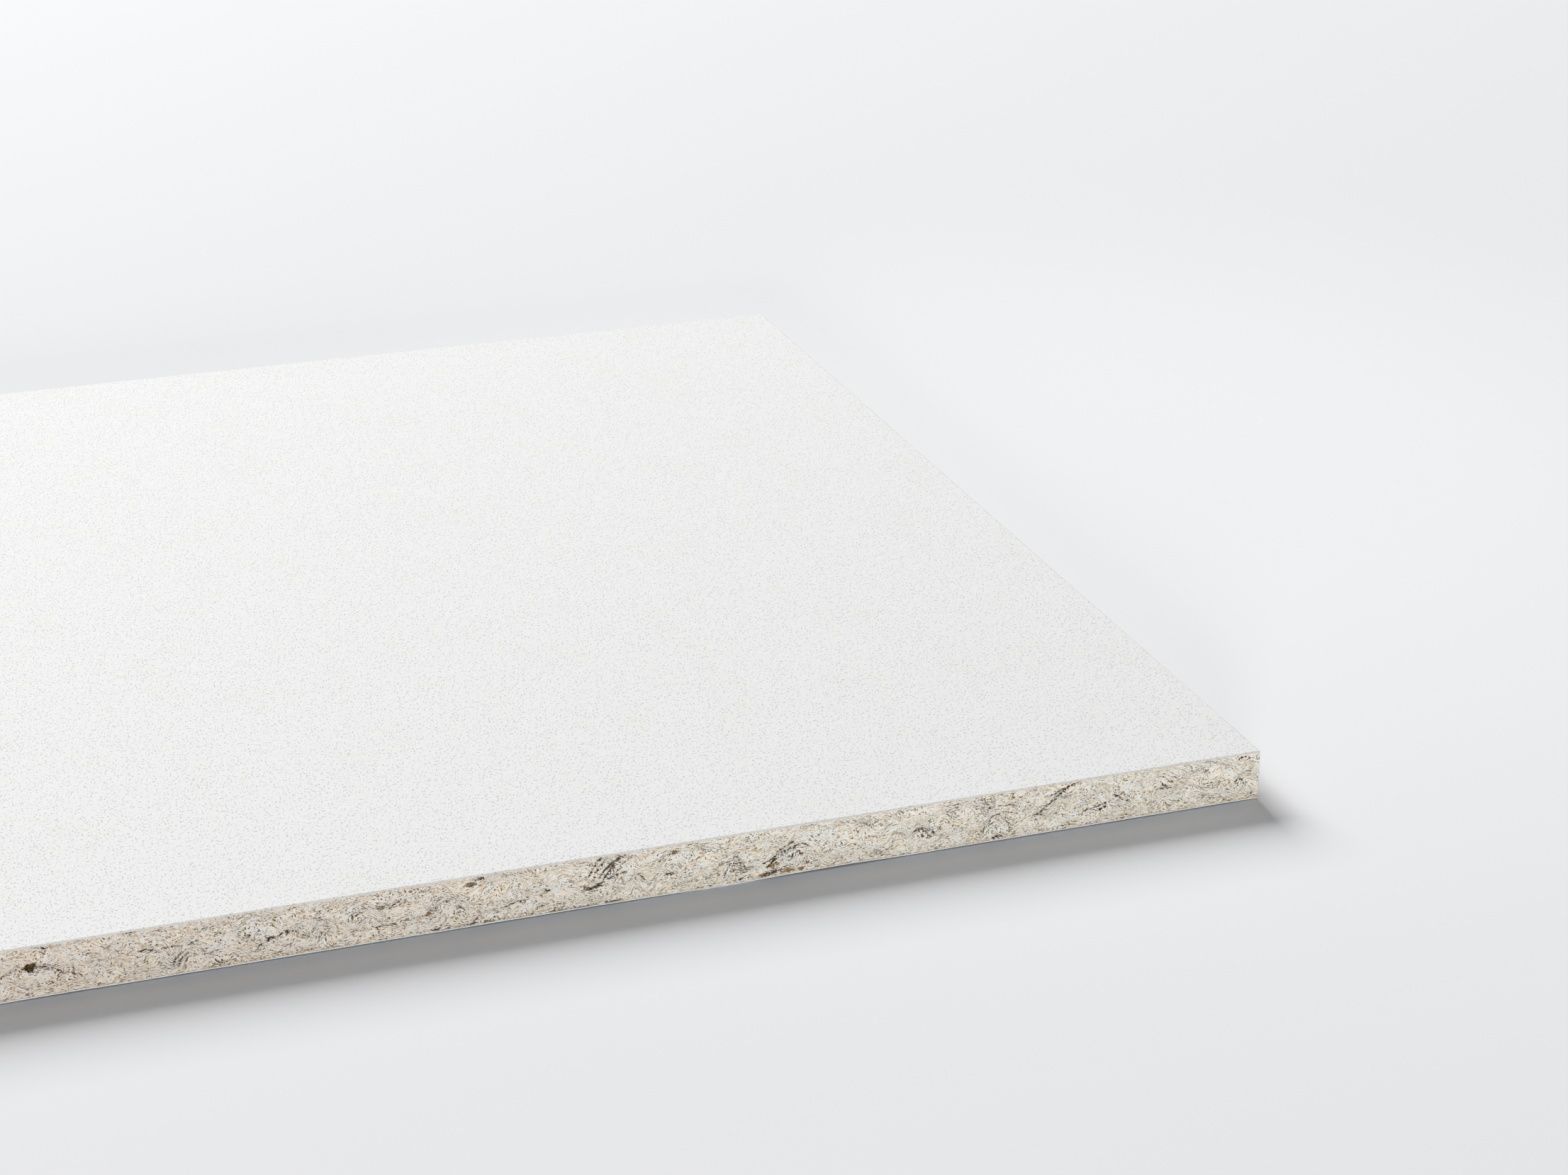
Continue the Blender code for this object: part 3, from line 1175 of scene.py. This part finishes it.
@dataclass
class BackFleece(Fleece):
    """The thin fleece on the back, which springs up a little along its rim."""

    wave: RimWave = field(default_factory=RimWave)
    spring_width: float = 0.016
    fray: float = 0.0003
    fray_width: float = 0.002
    fray_cell: Span = (0.0013, 0.0013)
    drift_cell: Span = (0.006, 0.006)
    thickness_sway: float = 0.25
    thickness_cell: Span = (0.0021, 0.0021)
    seed: int = 61

    def _round_board(self, x: Array, y: Array) -> Array:
        """Return the distance round the board of the rim point nearest to each place.

        Args:
            x: places along X.
            y: places along Y.

        Returns:
            Distances from the front left corner, in millimetres.
        """
        half_l, half_w = self.length / 2, self.width / 2
        inset = np.stack([y + half_w, half_l - x, half_w - y, x + half_l])
        right = self.length + y + half_w
        back = 1.5 * self.length + self.width - x
        left = 2 * self.length + 1.5 * self.width - y
        along = np.stack([x + half_l, right, back, left])
        nearest = np.argmin(inset, axis=0)
        return np.take_along_axis(along, nearest[None], axis=0)[0] / MM

    def build(self) -> bpy.types.Object:
        """Build the back fleece.

        Returns:
            The finished piece.
        """
        x, y, inset = self._grid()
        lift = self.wave.lift(self._round_board(x, y)) * MM
        z = self.low + lift * soft_step(inset, self.spring_width, 0.0)
        wander = waves(self.seed, x, y, self.fray_cell)
        wander = wander + 0.6 * waves(self.seed + 1, x, y, self.drift_cell)
        near = 1 - np.clip(inset / self.fray_width, 0, 1)
        x, y = self._pull(x, y, self.fray * (0.5 + 0.4 * wander) * near)
        rim_x, rim_y = self._ring(x), self._ring(y)
        sway = self.thickness_sway * waves(self.seed + 2, rim_x, rim_y, self.thickness_cell)
        thick = (self.high - self.low) * (1.0 + sway)
        rim = np.stack([rim_x, rim_y, self._ring(z) + thick], axis=-1)
        points, faces = self._sheet(x, y, z, rim, upward=False)
        finish, node = BackFleeceFinish().material(), "back_fleece"
        return make_piece("back_tissue", points, faces, finish, node, self.crease)


@dataclass(frozen=True)
class Softbox:
    """A square studio light that shines on the tile. Metres, degrees and watts."""

    name: str
    azimuth: float
    elevation: float
    distance: float
    size: float
    power: float
    colour: Triple = (1.0, 1.0, 1.0)

    def build(self) -> None:
        """Hang the light so that it faces the tile."""
        lamp = bpy.data.lights.new(self.name, "AREA")
        lamp.size = self.size
        lamp.energy = self.power
        lamp.color = self.colour
        holder = add_object(self.name, lamp)
        turn, tip = math.radians(self.azimuth), math.radians(self.elevation)
        holder.location = (
            self.distance * math.sin(turn) * math.cos(tip),
            -self.distance * math.cos(turn) * math.cos(tip),
            self.distance * math.sin(tip),
        )
        holder.rotation_euler = (math.pi / 2 - tip, 0.0, turn)
        holder.visible_camera = False
        LOG.info("%s: %.0f W", self.name, self.power)


@dataclass(frozen=True)
class Studio:
    """The pale floor, with a painted pool of light to the tile's right and a painted contact
    shadow along its front edge, the soft light and the camera. Metres and degrees.
    """

    tile_front: float
    camera_place: Triple = (-0.23916, -1.27010, 0.54222)
    azimuth: float = -19.3266
    elevation: float = 22.4775
    lens: float = 71.92
    sensor: float = 36.0
    floor_size: float = 24.0
    floor_colour: Colour = (0.808, 0.813, 0.828, 1.0)
    # A painted pool of light on the floor, to the tile's right.
    painted_light_pool_colour: Colour = (0.872, 0.878, 0.893, 1.0)
    light_pool_place: Triple = (0.42, 0.02, 0.0)
    light_pool_reach: Span = (0.62, 0.10)
    # A painted contact shadow on the floor, along the tile's front edge.
    painted_contact_shadow: Colour = (0.83, 0.88, 0.945, 1.0)
    contact_shadow_reach: float = 0.011
    contact_shadow_ends: Span = (0.302, 0.285)
    sky_colour: Colour = (0.93, 0.965, 1.0, 1.0)
    sky_strength: float = 0.158
    lights: tuple[Softbox, ...] = (
        Softbox("key_from_behind", 190.0, 32.6, 24.0, 12.6, 7950.0, (1.0, 0.995, 0.985)),
        Softbox("fill_from_front", -22.0, 4.0, 9.0, 1.9, 745.0),
        Softbox("top_from_behind", 190.0, 62.0, 4.0, 2.8, 18.0),
        Softbox("side_from_right", 84.0, 2.5, 6.0, 2.0, 65.0),
    )

    def build(self) -> None:
        """Set up the floor, the light and the camera."""
        self._floor()
        self._sky()
        for light in self.lights:
            light.build()
        self._camera()

    def _floor(self) -> None:
        """Lay the floor under the tile, with a painted pool of light and a painted contact shadow.
        """
        half = self.floor_size / 2
        mesh = bpy.data.meshes.new("studio_floor")
        corners = [(-half, -half, 0), (half, -half, 0), (half, half, 0), (-half, half, 0)]
        mesh.from_pydata(corners, [], [(0, 1, 2, 3)])
        r = Recipe("pale_floor")
        spot = r.place()
        # Painted light: the floor is paler in a round pool to the tile's right.
        apart = r.add("VectorMath", {0: spot, 1: self.light_pool_place}, operation="DISTANCE")
        painted_light_pool = r.band(apart.outputs["Value"], *self.light_pool_reach)
        colour = r.blend(painted_light_pool, self.floor_colour, self.painted_light_pool_colour)
        # Painted shadow: the floor is darker and cooler in a band along the tile's front edge, no
        # wider than the tile.
        across, away, _ = r.add("SeparateXYZ", {0: spot}).outputs
        ahead = r.sums("ABSOLUTE", r.sums("SUBTRACT", away, self.tile_front))
        beside = r.band(r.sums("ABSOLUTE", across), *self.contact_shadow_ends)
        contact_shade_share = r.sums("MULTIPLY", r.band(ahead, self.contact_shadow_reach, 0.0), beside)
        colour = r.blend(contact_shade_share, colour, self.painted_contact_shadow, "MULTIPLY")
        finish = r.finished(Base_Color=colour, Roughness=0.8, Specular_IOR_Level=0.1)
        mesh.materials.append(finish)
        floor = add_object("studio_floor", mesh)
        floor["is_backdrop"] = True

    def _sky(self) -> None:
        """Set the light that comes from all round."""
        world = bpy.data.worlds.new("studio_air")
        world.use_nodes = True
        sky = world.node_tree.nodes["Background"]
        sky.inputs["Color"].default_value = self.sky_colour
        sky.inputs["Strength"].default_value = self.sky_strength
        bpy.context.scene.world = world
        bpy.context.scene.view_settings.view_transform = "Standard"

    def _camera(self) -> None:
        """Put the camera where the photograph was taken from."""
        lens = bpy.data.cameras.new("photo_camera")
        lens.lens = self.lens
        lens.sensor_width = self.sensor
        lens.clip_end = 100.0
        camera = add_object("photo_camera", lens)
        camera.location = self.camera_place
        tip, turn = math.radians(90.0 - self.elevation), math.radians(self.azimuth)
        camera.rotation_euler = (tip, 0.0, turn)
        bpy.context.scene.camera = camera


def write_sizes() -> None:
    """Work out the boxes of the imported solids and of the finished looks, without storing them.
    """
    boxes = {"cad": CAD_BOX, "visual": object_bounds()}
    plain = {name: [list(corner) for corner in box] for name, box in boxes.items()}


def main() -> None:
    """Dress the tile and set up its studio."""
    logging.basicConfig(level=logging.INFO, format="%(name)s %(message)s")
    face_low, face_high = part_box("painted_face_fleece")
    back_low, back_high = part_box("back_fleece")
    core_low, core_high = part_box("stone_wool_core")
    length, width = face_high.x - face_low.x, face_high.y - face_low.y
    wave = RimWave()
    sizes = (size / MM for size in (length, width, core_low.z, core_high.z, face_high.z))
    WoolCore(*sizes, wave).build()
    FaceFleece(length, width, face_low.z, face_high.z, columns=596, rows=150).build()
    BackFleece(length, width, back_low.z, back_high.z, columns=596, rows=60, wave=wave).build()
    Studio(tile_front=face_low.y).build()
    write_sizes()


if __name__ == "__main__":
    main()
